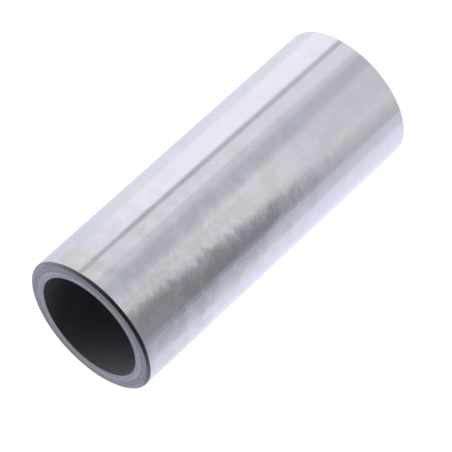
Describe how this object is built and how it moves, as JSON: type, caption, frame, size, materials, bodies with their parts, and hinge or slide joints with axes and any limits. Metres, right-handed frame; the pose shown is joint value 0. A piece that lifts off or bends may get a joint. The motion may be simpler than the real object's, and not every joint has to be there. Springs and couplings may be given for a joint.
{
  "type": "gudgeon pin",
  "caption": "Hollow cylindrical steel pin with a ground outside, chamfered ends and a straight through bore; joins a piston to its connecting rod.",
  "frame": {"origin": "centre of the bottom end face, on the pin's axis, where the pin stands on one end", "axes": "+Z along the pin's axis from the bottom end face to the top end face; X and Y are across the pin, which is round, so neither is special"},
  "size_m": [0.022, 0.022, 0.055],
  "materials": {
    "ground_steel": "fine ground outside, turned end faces, dull dark bore"
  },
  "bodies": {
    "root": {"gudgeon_pin": "ground_steel"}
  },
  "joints": []
}
